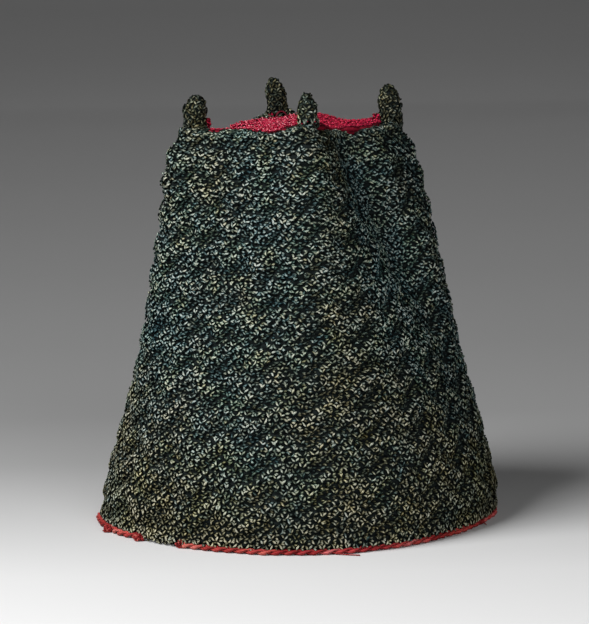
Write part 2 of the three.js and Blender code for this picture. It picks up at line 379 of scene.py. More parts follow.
def makeStrandGroup():
    # A twisted yarn, read from the strand's own map: x runs along it and y round it. Height gives the
    # plies and the fibres, and Shade is painted shade, lower in the furrows between the plies. The third
    # output is painted light: cos(angle from the top)^p * (1 - off^2)
    # * (lowest + (1 - lowest) * (1 - |1.3 off - 0.3|)^1.5), a painted highlight a little past the middle of
    #   the
    # strand's upper side and painted shade towards its sides and ends, where p is the yarn's falloff and off
    # runs from -1 at the strand's start to 1 at its end.
    group = bpy.data.node_groups.new("twistedStrand", "ShaderNodeTree")
    for name in ("Height", "Shade", "Top"):
        group.interface.new_socket(name, in_out="OUTPUT", socket_type="NodeSocketFloat")
    end = group.nodes.new("NodeGroupOutput")

    def calc(operation, a, b=0.0, clamp=False):
        return addMath(group, operation, a, b, clamp)

    uv = addNode(group, "ShaderNodeUVMap", uv_map="strand")
    split = addNode(group, "ShaderNodeSeparateXYZ", {0: uv.outputs["UV"]})
    along, around = split.outputs["X"], split.outputs["Y"]
    turns = calc("ADD", calc("MULTIPLY", around, yarn["plies"]), along)
    ply = calc("ABSOLUTE", calc("SINE", calc("MULTIPLY", turns, wholeTurn)))
    fibre = addNode(group, "ShaderNodeCombineXYZ", {0: calc("MULTIPLY", turns, yarn["fibreScale"]), 1: along})
    noise = addNode(group, "ShaderNodeTexNoise", {"Vector": fibre.outputs[0], "Scale": 1.0, "Detail": 2.0})
    height = calc("ADD", ply, calc("MULTIPLY", noise.outputs[0], yarn["fibreHeight"]))
    # Painted shade in the furrows between the plies
    furrowShade = calc("MULTIPLY", calc("SUBTRACT", 1.0, ply), yarn["furrowShade"])
    # Painted shade: darker from the strand's top towards its sides, and towards its ends
    turned = calc("COSINE", calc("MULTIPLY", calc("SUBTRACT", around, 0.5), wholeTurn))
    upper = calc("POWER", calc("MULTIPLY", turned, 1.0, clamp=True), yarn["paintedShadeFalloff"])
    off = calc("SUBTRACT", calc("MULTIPLY", along, 2.0), 1.0)
    middle = calc("SUBTRACT", 1.0, calc("POWER", calc("ABSOLUTE", off), 2.0))
    # Painted highlight: palest a little past the middle
    beside = calc("ABSOLUTE", calc("SUBTRACT", calc("MULTIPLY", off, 1.3), 0.3))
    spot = calc("POWER", calc("SUBTRACT", 1.0, beside, clamp=True), 1.5)
    lit = calc("ADD", calc("MULTIPLY", spot, 1 - yarn["lowest"]), yarn["lowest"])
    top = calc("MULTIPLY", upper, calc("MULTIPLY", middle, lit), clamp=True)
    for name, value in (("Height", height), ("Shade", calc("SUBTRACT", 1.0, furrowShade)), ("Top", top)):
        group.links.new(value, end.inputs[name])
    return group


strandGroup = makeStrandGroup()


def makeYarn(name, cool, warm, patches, bump, roughness, specular, paintedLightShare=1.0):
    # cool and warm: the colours of two dyes from the darkest strand to the palest one, mixed by the
    # strand's own warmth; patches: colours that it leans to in large patches over the hat; the last
    # argument: how much painted light a strand gets, a painted highlight past its middle and painted
    # shade towards its sides and its ends
    material, tree, shader, place = startMaterial(name, roughness, specular)
    tint = addNode(tree, "ShaderNodeAttribute", attribute_name="tint").outputs["Fac"]
    warmth = addNode(tree, "ShaderNodeAttribute", attribute_name="warmth").outputs["Fac"]
    strand = addNode(tree, "ShaderNodeGroup", node_tree=strandGroup).outputs
    # Painted highlight and painted shade of each strand, scaled by the last argument; pale carries them into
    # the colour
    top = addMath(tree, "ADD", addMath(tree, "MULTIPLY", strand["Top"], paintedLightShare), 1 - paintedLightShare)
    tone = addMath(tree, "ADD", addMath(tree, "MULTIPLY", tint, 1 - yarn["darkest"]), yarn["darkest"])
    pale = addMath(tree, "MULTIPLY", top, tone)
    color = addMix(tree, warmth, addRamp(tree, pale, cool), addRamp(tree, pale, warm))
    for scale, strength, patch, seed in patches:
        inputs = {"Vector": place, "Scale": scale, "Detail": 3.0, "W": seed}
        noise = addNode(tree, "ShaderNodeTexNoise", inputs, noise_dimensions="4D")
        share = addRange(tree, noise.outputs[0], 0.45, 0.65, 0.0, strength)
        color = addMix(tree, share, color, (*patch, 1), "SOFT_LIGHT")
    color = addMix(tree, 1.0, color, addGrey(tree, strand["Shade"]), "MULTIPLY")
    tree.links.new(color, shader.inputs["Base Color"])
    addBump(tree, shader, strand["Height"], bump, 0.25 * mm)
    return material


darkYarn = makeYarn(
    "darkYarn",
    cool=[(0.0, (0.001, 0.003, 0.004)), (0.11, (0.016, 0.038, 0.043)), (0.24, (0.115, 0.180, 0.182)),
          (0.38, (0.36, 0.425, 0.395)), (0.58, (0.54, 0.58, 0.54))],
    warm=[(0.0, (0.003, 0.003, 0.0015)), (0.11, (0.036, 0.034, 0.018)), (0.24, (0.185, 0.175, 0.108)),
          (0.38, (0.425, 0.405, 0.295)), (0.58, (0.58, 0.555, 0.425))],
    patches=[(95, 0.6, (0.70, 0.62, 0.34), 1.0), (45, 0.35, (0.30, 0.55, 0.62), 7.0)],
    bump=0.6, roughness=0.5, specular=0.05, paintedLightShare=0.94)
redYarn = makeYarn(
    "redYarn",
    cool=[(0.0, (0.13, 0.001, 0.014)), (0.22, (0.56, 0.005, 0.058)), (0.45, (0.92, 0.055, 0.155)),
          (0.75, (1.0, 0.66, 0.70))],
    warm=[(0.0, (0.14, 0.002, 0.012)), (0.22, (0.58, 0.009, 0.048)), (0.45, (0.94, 0.075, 0.135)),
          (0.75, (1.0, 0.66, 0.62))],
    patches=[(60, 0.3, (0.75, 0.45, 0.45), 3.0)],
    bump=0.5, roughness=0.6, specular=0.15)
redCord = makeYarn(
    "redCord",
    cool=[(0.0, (0.06, 0.003, 0.005)), (0.4, (0.27, 0.015, 0.020)), (0.75, (0.47, 0.045, 0.052)),
          (1.0, (0.70, 0.21, 0.22))],
    warm=[(0.0, (0.07, 0.004, 0.005)), (0.4, (0.30, 0.024, 0.022)), (0.75, (0.50, 0.075, 0.060)),
          (1.0, (0.72, 0.27, 0.20))],
    patches=[(90, 0.5, (0.30, 0.25, 0.25), 5.0)],
    bump=0.9, roughness=0.6, specular=0.1, paintedLightShare=0.0)


def makeGround(name, color, furrowShade):
    # The cloth under the strands: rows of small loops, drawn by a wave and cells, with painted shade in the
    # low places between the loops
    material, tree, shader, place = startMaterial(name, 0.95, 0.08)
    rows = addNode(tree, "ShaderNodeTexWave", {"Vector": place, "Scale": 140.0, "Distortion": 3.0,
                                               "Detail": 2.0}, bands_direction="Z")
    loops = addNode(tree, "ShaderNodeTexVoronoi", {"Vector": place, "Scale": 420.0})
    height = addMath(tree, "ADD", rows.outputs["Fac"], loops.outputs["Distance"])
    color = addRamp(tree, height, [(0.2, furrowShade), (1.0, color)])
    tree.links.new(color, shader.inputs["Base Color"])
    addBump(tree, shader, height, 0.8, 0.6 * mm)
    return material


# Near-black: dark wool, darkened further as painted shade for the gaps between the strands
darkGround = makeGround("darkGround", (0.007, 0.010, 0.010), (0.001, 0.0015, 0.0015))
redGround = makeGround("redGround", (0.16, 0.006, 0.016), (0.03, 0.001, 0.004))
print("materials made")


def loftFaces(ringCount, sides, endless):
    # The four corners of each face between neighbouring rings, for rings that close on themselves
    last = ringCount if endless else ringCount - 1
    ring, side = np.meshgrid(np.arange(last), np.arange(sides), indexing="ij")
    beside = (side + 1) % sides
    above = (ring + 1) % ringCount
    faces = np.stack([ring * sides + side, ring * sides + beside, above * sides + beside,
                      above * sides + side], -1)
    return faces.reshape(-1, 4)


def cappedLoft(rings):
    # Rings joined into a closed body, with a fan to the middle of the first and of the last ring.
    # Returns the points, the corners of the faces and how many each face has.
    sides = len(rings[0])
    points = np.concatenate([*rings, rings[0].mean(0)[None], rings[-1].mean(0)[None]])
    faces = loftFaces(len(rings), sides, False)
    side = np.arange(sides)
    beside = (side + 1) % sides
    top = (len(rings) - 1) * sides
    under = np.stack([np.full(sides, len(points) - 2), beside, side], -1)
    over = np.stack([np.full(sides, len(points) - 1), top + side, top + beside], -1)
    corners = np.concatenate([faces.ravel(), under.ravel(), over.ravel()])
    return points, corners, np.repeat([4, 3], [len(faces), 2 * sides])


ground = {
    "columns": 240,
    "outsideRings": 80,
    "insideRings": 16,
    "depth": 0.9 * mm,      # how far under the strands it lies
}


def gusset(turn):
    # How much of the dark cloth fills the corner under a peak, 0 to 1
    return np.max([nearness(turn, form["corner"], 24) * form["gusset"] for form in peaks.values()], axis=0)


def makeWallGround():
    # A closed sleeve: rings go up the outside, over the rim and the corners' gussets, down the inside and
    # under the hem
    turn = np.arange(ground["columns"]) / ground["columns"] * wholeTurn
    rings = []
    for share in np.linspace(0, 1, ground["outsideRings"]):
        level = mix(hat["hemLevel"], topEdge(turn), share)
        rings.append(clothPoint(turn, level, -ground["depth"]))
    for share in np.linspace(1, 0, ground["insideRings"]):
        level = mix(hat["hemLevel"], topEdge(turn), share)
        filled = 6 * mm * gusset(turn) * smoothStep((share - 0.93) / 0.07)
        rings.append(wallPoint(turn, level, -hat["wallThickness"] - filled))
    faces = loftFaces(len(rings), ground["columns"], True)
    mesh = makeMesh("wallGround", np.concatenate(rings), faces.ravel(), np.full(len(faces), 4))
    addPiece("wall_ground", mesh, darkGround, ["wall"])


makeWallGround()
print("wall ground made")

# A strand: a short arch of yarn, thick in the middle, whose ends dive into the cloth
strand = {
    "stations": [-0.64, 0.0, 0.64],
    "sides": 4,
    "dive": 0.55,
}


def strandTemplate():
    # Rings round the x axis with radius (1 - x^2)^0.4, lowered by dive * x^2, and a point at each end.
    # Returns the points, the corners of the faces, how many each face has, and the corners' map.
    sides = strand["sides"]
    stations = np.array(strand["stations"])
    angle = (np.arange(sides) + 0.5) / sides * wholeTurn - math.pi / 2
    radius = ((1 - stations**2)**0.4)[:, None]
    x = stations[:, None] + 0 * angle
    rings = np.stack([x, radius * np.cos(angle), radius * np.sin(angle) - strand["dive"] * x**2], -1)
    points, corners, sizes = cappedLoft(rings)
    points[-2:] = [[-1, 0, -strand["dive"]], [1, 0, -strand["dive"]]]
    left = (np.arange(sides) + 0.5) / sides
    right = left + 1 / sides
    around = [np.stack([left, right, right, left], -1)] * (len(stations) - 1)
    around += [np.stack([left, right, left], -1), np.stack([right, left, right], -1)]
    around = np.concatenate([part.ravel() for part in around])
    uv = np.stack([points[corners, 0] / 2 + 0.5, around], -1)
    # These rings run the other way round than those of a body that stands up
    return points, corners[::-1], sizes[::-1], uv[::-1]


template = strandTemplate()


def layStrands(name, material, centre, along, up, length, width, tint, warmth, bend=None):
    # Every strand is the template put at its centre: centre + x * length/2 * along
    # + y * width/2 * (up cross along) + z * width/2 * up, bent sideways by bend * (1 - x^2) * length/2
    points, corners, sizes, uv = template
    count = len(centre)
    if bend is None:
        bend = 0.24 * np.sin(2.4 * np.arange(count))
    along = unit(along)
    up = unit(up - along * (up * along).sum(-1, keepdims=True))
    side = np.cross(up, along)
    x, y, z = points.T[:, :, None]
    reach, radius = length[:, None, None] / 2, width[:, None, None] / 2
    place = centre[:, None] + reach * x * along[:, None]
    place = place + reach * bend[:, None, None] * (1 - x**2) * side[:, None]
    place = place + radius * (y * side[:, None] + z * up[:, None])
    shift = np.arange(count)[:, None] * len(points)
    tint, warmth = (np.repeat(values, len(points)) for values in (tint, warmth))
    addYarn(name, material, place.reshape(-1, 3), (corners + shift).ravel(), np.tile(sizes, count),
            np.tile(uv, (count, 1)), tint, warmth)


def placeStrands(rng, slack, centre, axes, offsets, slant, length, width, loose=1.0):
    # One strand of every knot: moved off the knot's centre by three offsets, round, up and out, and
    # turned by slant from the way round to the way up, all with the slack of hand work. Returns the
    # place, the direction, the outward normal, the length and the width of each.
    count = len(centre)
    around, upward, outward = axes
    slant = slant + rng.normal(0, slack["slant"], count) * loose
    across = offsets[0] + rng.normal(0, slack["across"], count) * loose
    over = offsets[1] + rng.normal(0, slack["over"], count) * loose
    out = offsets[2] + rng.normal(0, slack["out"], count)
    place = moved(centre, (around, across), (upward, over), (outward, out))
    along = moved(0, (around, np.cos(slant)), (upward, np.sin(slant)))
    length = length * rng.uniform(*slack["length"], count)
    width = width * rng.uniform(*slack["width"], count)
    return place, along, outward, length, width


def directions(surface, u, v, uStep, vStep):
    # The unit steps along u and square to it on a surface, and its outward normal, from differences
    around = unit(surface(u + uStep, v) - surface(u - uStep, v))
    outward = unit(np.cross(around, surface(u, v + vStep) - surface(u, v - vStep)))
    return around, np.cross(outward, around), outward


knots = {
    "rows": 72,
    "rowGrowth": 0.08,           # how much taller the rows get towards the top
    "firstRow": -0.2 * mm,       # how far over the hem they start
    "widthLow": 5.5 * mm,
    "widthHigh": 4.6 * mm,
    "strandLow": 2.9 * mm,       # how long a strand is at the hem and at the top
    "strandHigh": 3.3 * mm,
    "strandWidth": 1.06 * mm,
    "slantLow": 54,              # degrees, how steep the legs of a knot stand at the hem and at the top
    "slantHigh": 27,
    "grooveSlant": 16,           # degrees, how steep they lie in a rising groove
    "pieces": 5,
    "seed": 5,
    "slack": {"slant": 0.3, "across": 0.2 * mm, "over": 0.23 * mm, "out": 0.15 * mm, "length": (0.75, 1.2),
              "width": (0.75, 1.2)},
}

# How warm the dye is from the hem, 0, to the rim, 1
woolTable = {
    "height": [0.00, 0.08, 0.30, 0.50, 0.72, 0.88, 1.00],
    "warmth": [0.95, 0.85, 0.48, 0.25, 0.15, 0.35, 0.50],
}

# The strands of a knot: two legs that stand as a V, a bar across its mouth, one that lies deep between
# this knot and the next, and a short one over it. across is a share of the knot's width, over and drawn
# (over in a groove) are shares of the row's height, and out is in millimetres.
knotStrands = [
    {"across": -0.15, "over": 0.0, "drawn": -0.4, "slant": -1, "out": 0.15, "size": 1.0, "pale": 1.0},
    {"across": 0.15, "over": 0.0, "drawn": 0.35, "slant": 1, "out": 0.15, "size": 1.0, "pale": 1.0},
    {"across": 0.0, "over": 0.5, "drawn": 0.0, "slant": 0, "out": 0.05, "size": 0.7, "pale": 0.75},
    {"across": 0.5, "over": 0.1, "drawn": 0.5, "slant": 0.5, "out": -0.4, "size": 0.9, "pale": 0.5},
    {"across": 0.5, "over": -0.35, "drawn": -0.2, "slant": -0.5, "out": -0.05, "size": 0.65, "pale": 0.65},
]


def knotPlaces():
    # Rows up the wall; each row's knots are spaced evenly along it, and every second row is shifted by
    # half a knot. Returns the turn, the level and the width of each knot.
    rowShare = (np.arange(knots["rows"]) + 0.5) / knots["rows"]
    rowShare = rowShare * (1 - knots["rowGrowth"] + knots["rowGrowth"] * rowShare)
    fine = np.linspace(-math.pi / 4, wholeTurn - math.pi / 4, 721)
    lowest = hat["hemLevel"] + knots["firstRow"]
    rows = []
    for row, share in enumerate(rowShare):
        run = runAlong(wallPoint(fine, mix(lowest, topEdge(fine), share), 0))
        width = mix(knots["widthLow"], knots["widthHigh"], share)
        count = 5 * round(run[-1] / width / 5)
        turn = np.interp((np.arange(count) + 0.5 * (row % 2)) / count * run[-1], run, fine)
        rows.append((turn, mix(lowest, topEdge(turn), share), np.full(count, run[-1] / count)))
    # Where the cord under the hem is worn away, one more row of knots hangs down
    turn = np.radians(np.arange(-105, -90, 3.6))
    rows.append((turn, np.full(len(turn), 1.8 * mm), np.full(len(turn), knots["widthLow"])))
    return joined(rows)


def makeWallKnots():
    rng = np.random.default_rng(knots["seed"])
    turn, level, width = knotPlaces()
    count = len(turn)
    height = level / hat["rimHeight"]
    centre = clothPoint(turn, level)
    # The step round the wall is wide enough to pass over the edge of a groove
    axes = directions(clothPoint, turn, level, 0.012, 0.4 * mm)
    ridge, groove = ribs(turn, level)
    groove = groove * (0.55 + 0.4 * height)
    # Painted shade: the wool is made darker along the creases between two ribs
    paintedCreaseShade = (1 - 0.85 * groove) * (0.5 + 0.65 * ridge)
    # Warmer, olive wool towards the hem and bluer wool higher up, and a tan patch by the front corner
    warmth = smoothTable(woolTable, "warmth", height) + 0.12 * np.sin(3 * turn + 9 * height)
    warmth = warmth + 0.4 * nearness(turn, -38, 30) * nearness(height, 33, 14)
    # Broad paler, warmer patches and darker, bluer ones
    patch = np.sin(9 * turn + 13 * height) + np.sin(14 * turn - 21 * height + 2)
    patch = (patch + np.sin(23 * turn + 34 * height)) / 3
    warmth = warmth + 0.22 * patch
    # Higher wool is a little darker, and a band half way up beside the dent is painted light: paler wool
    # where light falls on the dent's slope
    gain = (1 + 0.22 * patch) * (1.2 - 0.12 * height)
    gain = gain * (1 + 0.9 * nearness(turn, -7, 16) * np.exp(-((height - 0.64) / 0.2)**2))
    # Painted shade in the dent's valley: its strands are made even, dark and cool
    side = mix(hat["topHalfSide"], hat["baseHalfSide"], smoothTable(wallTable, "side", height))
    shaded = dentShare(wallPoint(turn, level, 0)[:, 1] / side, height)
    shaded = shaded * (np.abs(turn) < 0.8) * smoothStep(3.2 * height - 1.5)
    steep = np.radians(mix(knots["slantLow"], knots["slantHigh"], height))
    length = mix(knots["strandLow"], knots["strandHigh"], height)
    rowHeight = hat["rimHeight"] / knots["rows"]
    parts = []
    for form in knotStrands:
        # A groove draws the strands of a knot together, until they lie one over the other
        slant = mix(form["slant"] * steep, math.radians(knots["grooveSlant"]), groove)
        offsets = (form["across"] * width * (1 - 0.2 * groove),
                   mix(form["over"], form["drawn"], groove) * rowHeight,
                   (form["out"] - 0.3 * groove) * mm)
        laid = placeStrands(rng, knots["slack"], centre, axes, offsets, slant, length * form["size"],
                            knots["strandWidth"], 0.55 + 0.45 * height)
        tint = form["pale"] * rng.beta(3.6, 4.2, count) * paintedCreaseShade * gain
        # Painted shade: the dent's valley gets a flat, dim tint and cooler wool
        tint = np.clip(mix(tint, 0.28 + 0.35 * tint, np.clip(1.3 * shaded, 0, 1)), 0, 1)
        warm = np.clip(warmth + rng.normal(0, 0.2, count) - 0.5 * shaded, 0, 1)
        parts.append((*laid, tint, warm, rng.normal(0, 0.3, count)))
    strands = joined(parts)
    turn = np.tile(turn, len(knotStrands))
    piece = np.floor((turn + math.pi / 4) / wholeTurn * knots["pieces"]).astype(int) % knots["pieces"]
    for index in range(knots["pieces"]):
        chosen = piece == index
        layStrands(f"wall_knots_{index + 1}", darkYarn, *(column[chosen] for column in strands))
    print("wall knots made:", len(turn), "strands")


# How far out of the wall and over its top edge the rows of knots on the rim lie, in millimetres
rimRows = [(0.1, -0.4), (-0.8, 0.2), (-1.8, 0.4), (-2.8, 0.3), (-3.8, 0.6), (-4.8, 0.7), (-5.8, 0.8),
           (-6.8, 0.8)]


def makeRimKnots():
    # The last rows turn over the top edge and lie on the rim of the crown, in small scallops
    rng = np.random.default_rng(knots["seed"] + 1)
    count = 130
    above = np.array([0, 0, 1.0])
    parts = []
    for row, (out, rise) in enumerate(rimRows):
        turn = (np.arange(count) + 0.5 * (row % 2) + rng.normal(0, 0.15, count)) / count * wholeTurn
        scallop = np.sin(turn * 23) + np.sin(turn * 17 + 1)
        level = topEdge(turn)
        place = wallPoint(turn, level, out * mm + 0.35 * mm * scallop * (row > 1))
        place[:, 2] += rise * mm + 0.2 * mm * scallop + rng.normal(0, 0.2 * mm, count)
        around = unit(wallPoint(turn + 0.01, level, 0) - wallPoint(turn - 0.01, level, 0))
        up = above + np.cross(around, above) * max(0.9 - 0.55 * row, -0.8)
        slant = rng.choice([-1, 1], count) * rng.uniform(0.1, 0.9, count)
        along = moved(0, (around, np.cos(slant)), (np.cross(up, around), np.sin(slant)))
        length = knots["strandHigh"] * rng.uniform(0.9, 1.3, count)
        size = knots["strandWidth"] * rng.uniform(0.9, 1.2, count)
        tint = rng.beta(1.5, 2.6, count)
        warm = rng.uniform(0.1, 0.7, count)
        # The inner rows only go round the corners, at the foot of each peak
        kept = gusset(turn) > 0.1 * (row - 3)
        parts.append([column[kept] for column in (place, along, up, length, size, tint, warm)])
    layStrands("rim_knots", darkYarn, *joined(parts))


makeWallKnots()
makeRimKnots()

crown = {
    "edge": 0.8 * mm,
    "thickness": 3 * mm,
    "rise": 2.0 * mm,
    "dip": 1.6 * mm,
    "dipPlace": -150,
    "tuck": 0.6 * mm,
    "sink": 1.0 * mm,           # how far the cloth has sunk under the solid, more towards the left corner
    "chamfer": 53.5 * mm,       # |x| + |y| where the red cloth gives way to the corners' dark cloth
    "tilt": 0.5 * mm,
    "tiltPlace": -144.5,
    "rowHeight": 1.65 * mm,
    "knotWidth": 2.8 * mm,
    "strandLength": 2.1 * mm,
    "strandWidth": 0.95 * mm,
    "slant": 38,
    "slack": {"slant": 0.45, "across": 0.3 * mm, "over": 0.3 * mm, "out": 0.15 * mm, "length": (0.8, 1.2),
              "width": (0.8, 1.2)},
    "seed": 11,
}

# Where the crown's edge is drawn up or has sunk, in degrees, and how far in millimetres
crownBends = [(173, 2.2), (137, -1.6), (98, 1.2)]
crownSeat = 1 - 1.5 * hat["wallThickness"] / hat["topHalfSide"]


def crownLevel(turn, share, depth=0.0):
    # A low dome: seat + edge + rise * (1 - s^2)^2, less a dip halfway to one corner
    inside = np.minimum(share / crownSeat, 1)
    middle = (1 - inside**2)**2
    halfway = 4 * inside**2 * (1 - inside**2)
    seat = mix(hat["rimHeight"], rimLevel(turn), inside**3) + hat["clearance"]
    dip = crown["dip"] * halfway * nearness(turn, crown["dipPlace"], 4)
    sunk = crown["sink"] + crown["tilt"] * inside * np.cos(turn - math.radians(crown["tiltPlace"]))
    for place, lift in crownBends:
        sunk = sunk - lift * mm * inside**2 * nearness(turn, place, 30)
    top = seat + crown["edge"] + crown["rise"] * middle - dip - sunk
    return top - depth * mix(crown["edge"], crown["thickness"], middle)


def crownPoint(turn, share, depth=0.0):
    # A share of the way from the middle to the wall's top, moved in by tuck; depth is 1 at the underside
    edge = wallPoint(turn, hat["rimHeight"] + 0 * turn, -crown["tuck"])
    return np.stack([edge[..., 0] * share, edge[..., 1] * share, crownLevel(turn, share, depth)], -1)


def crownSpot(x, y):
    # The crown's top at a place given by x and y
    fine = np.linspace(-math.pi, math.pi, 721)
    edge = wallPoint(fine, hat["rimHeight"] + 0 * fine, -crown["tuck"])
    heading = np.unwrap(np.arctan2(edge[:, 1], edge[:, 0]))
    reach = np.hypot(edge[:, 0], edge[:, 1])
    turn = np.arctan2(y, x)
    share = np.hypot(x, y) / np.interp(turn, heading, reach)
    return np.stack([x, y, crownLevel(turn, share)], -1), share


def makeCrownGround():
    columns = 120
    turn = np.arange(columns) / columns * wholeTurn
    edge = crownPoint(turn, 1.0)
    limit = np.minimum(0.94, crown["chamfer"] / (np.abs(edge[:, 0]) + np.abs(edge[:, 1])))
    rings = []
    for share in np.linspace(0.04, 1, 10):
        # The cloth's edge hangs down behind the rim
        rings.append(crownPoint(turn, share * limit, 1.0) - [0, 0, 3.2 * mm * share**8])
    rings += [crownPoint(turn, share * limit, 0.5) for share in np.linspace(1, 0.04, 26)]
    addPiece("crown_ground", makeMesh("crownGround", *cappedLoft(rings)), redGround, ["crown"])


def makeCrownKnots():
    rng = np.random.default_rng(crown["seed"])
    reach = 40 * mm
    rows = np.arange(-reach, reach, crown["rowHeight"])
    knotsInRow = np.arange(-reach, reach, crown["knotWidth"])
    y, x = np.meshgrid(rows, knotsInRow, indexing="ij")
    x = x + crown["knotWidth"] / 2 * (np.arange(len(rows)) % 2)[:, None]
    x, y = x.ravel(), y.ravel()
    centre, share = crownSpot(x, y)
    clear = (share < 0.95) & (np.abs(x) + np.abs(y) < crown["chamfer"])
    for form in peaks.values():
        foot = peakFoot(form)
        clear &= np.hypot(x - foot[0], y - foot[1]) > form["clear"] * mm
    x, y, centre = x[clear], y[clear], centre[clear]
    step = 0.5 * mm
    across = unit(crownSpot(x + step, y)[0] - crownSpot(x - step, y)[0])
    forward = unit(crownSpot(x, y + step)[0] - crownSpot(x, y - step)[0])
    axes = (across, forward, np.cross(across, forward))
    # Painted shade: the wool is made plainer and darker towards the right corner, which is turned from the
    # key light
    paintedRightShade = smoothStep((0.814 * x + 0.581 * y + 2 * mm) / (14 * mm))
    parts = []
    for leg in (-1, 1):
        offsets = (leg * 0.24 * crown["knotWidth"], 0, 0)
        slant = leg * math.radians(crown["slant"])
        laid = placeStrands(rng, crown["slack"], centre, axes, offsets, slant, crown["strandLength"],
                            crown["strandWidth"])
        tint = rng.beta(1.4, 0.9, len(x)) * (1 - 0.45 * paintedRightShade)
        parts.append((*laid, tint, rng.uniform(0, 1, len(x))))
    layStrands("crown_knots", redYarn, *joined(parts))
    print("crown knots made:", 2 * len(x), "strands")


peak = {
    "height": 15 * mm,
    "width": 10.5 * mm,
    "inset": 5.5 * mm,
    "rowHeight": 2.1 * mm,
    "knotWidth": 3.6 * mm,
    "strandLength": 3.3 * mm,
    "strandWidth": 1.05 * mm,
    "slant": 55,
    "slack": {"slant": 0.3, "across": 0.25 * mm, "over": 0.2 * mm, "out": 0.18 * mm, "length": (0.8, 1.15),
              "width": (0.85, 1.15)},
    "seed": 23,
}

peakTable = {
    "height": [0.00, 0.22, 0.48, 0.70, 0.87, 0.97, 1.02],
    "radius": [1.04, 0.98, 1.00, 0.90, 0.66, 0.32, 0.02],
}


def peakFoot(form):
    # On the rim, the corner's distance less the inset from the middle, and moved by aside
    angle = math.radians(form["corner"])
    distance = topCorner - peak["inset"]
    level = rimLevel(np.array([angle]))[0] + hat["clearance"]
    x, y = form["aside"]
    return np.array([distance * math.cos(angle) + x * mm, distance * math.sin(angle) + y * mm, level])


def peakPoint(form, turn, share, out=0.0):
    # Rings round a foot that leans more towards the tip: radius from the table, lean * rise * share
    rise = share * form["height"] * peak["height"]
    radius = smoothTable(peakTable, "radius", share) * form["width"] * peak["width"] / 2 + out
    # Lumps of hand work, and a slimmer upper half
    lumps = np.sin(2 * turn + 5 * share + form["corner"]) + np.sin(3 * turn - 7 * share + 2 * form["corner"])
    radius = radius * (1 + 0.035 * lumps) - 0.9 * mm * smoothStep((share - 0.45) / 0.5) * (1 - share**6)
    lean = rise * share
    foot = peakFoot(form)
    x = foot[0] + radius * np.cos(turn) + form["lean"][0] * lean
    y = foot[1] + radius * np.sin(turn) + form["lean"][1] * lean
    return np.stack([x, y, foot[2] + rise + 0 * x], -1)


def makePeak(name, form, seed):
    rng = np.random.default_rng(seed)
    columns = 32
    turn = np.arange(columns) / columns * wholeTurn
    rings = [peakPoint(form, turn, share, -0.7 * mm) for share in np.linspace(0, 0.97, 14)]
    addPiece(name + "_ground", makeMesh(name + "Ground", *cappedLoft(rings)), darkGround, [name])
    # Rings of the wall's knots wind up the peak, from a wider foot that runs out over the corner
    rows = []
    step = peak["rowHeight"] / (form["height"] * peak["height"])
    for row, share in enumerate(np.arange(-0.2, 0.97, step)):
        radius = smoothTable(peakTable, "radius", share) * form["width"] * peak["width"] / 2
        count = max(2, round(wholeTurn * radius / peak["knotWidth"]))
        turn = (np.arange(count) + 0.5 * (row % 2)) / count * wholeTurn
        inner = 0.5 - 0.5 * np.cos(turn - math.radians(form["corner"]))
        flare = (0.3 + 2.2 * inner * form["gusset"]**2) * mm * max(0.0, 1 - (share + 0.2) / 0.3)
        rows.append((turn, np.full(count, share), flare))
    turn, share, flare = joined(rows)
    axes = directions(lambda turn, share: peakPoint(form, turn, share), turn, share, 0.02, 0.02)
    centre = peakPoint(form, turn, share)
    out = flare - 0.5 * mm
    parts = []
    for piece in knotStrands[:3]:
        offsets = (1.3 * piece["across"] * peak["knotWidth"], piece["over"] * peak["rowHeight"], out)
        slant = piece["slant"] * math.radians(peak["slant"])
        laid = placeStrands(rng, peak["slack"], centre, axes, offsets, slant,
                            peak["strandLength"] * piece["size"], peak["strandWidth"])
        tint = rng.beta(0.6, 1.4, len(turn)) * form["pale"]
        parts.append((*laid, tint, rng.uniform(0.45, 1.0, len(turn))))
    layStrands(name + "_knots", darkYarn, *joined(parts))


makeCrownGround()
makeCrownKnots()
for index, (name, form) in enumerate(peaks.items()):
    makePeak(name, form, peak["seed"] + index)
print("peaks made")

hemCord = {
    "height": 2.7 * mm,
    "tuck": -0.2 * mm,
    "slack": 1.1 * mm,          # how far it hangs out by the gap
    "gapStart": -105,
    "gapEnd": -92,
    "plyRadius": 0.7 * mm,
    "pitch": 10.6 * mm,
    "sway": 0.25 * mm,
    "swell": 0.26,
    "steps": 900,
    "sides": 8,
}


def tubeAlong(path, radius, sides):
    # Rings round a path: at each point, path + radius * (cos * across + sin * over), where across and
    # over stand square to the path. Returns points, corners, face sizes and the corners' map.
    ahead = unit(np.gradient(path, axis=0))
    across = unit(np.cross(ahead, [0, 0, 1.0]))
    over = np.cross(across, ahead)
    angle = np.arange(sides)[:, None] / sides * wholeTurn
    ring = np.cos(angle) * across[:, None] + np.sin(angle) * over[:, None]
    points, corners, sizes = cappedLoft(path[:, None] + np.reshape(radius, (-1, 1, 1)) * ring)
    # These rings run the other way round than those of a body that stands up
    corners, sizes = corners[::-1], sizes[::-1]
    run = runAlong(path)
    run = np.append(np.repeat(run, sides), [run[0], run[-1]])
    around = np.append(np.tile(np.arange(sides) / sides, len(path)), [0, 0])
    return points, corners, sizes, np.stack([run[corners] / (4 * mm), around[corners]], -1)


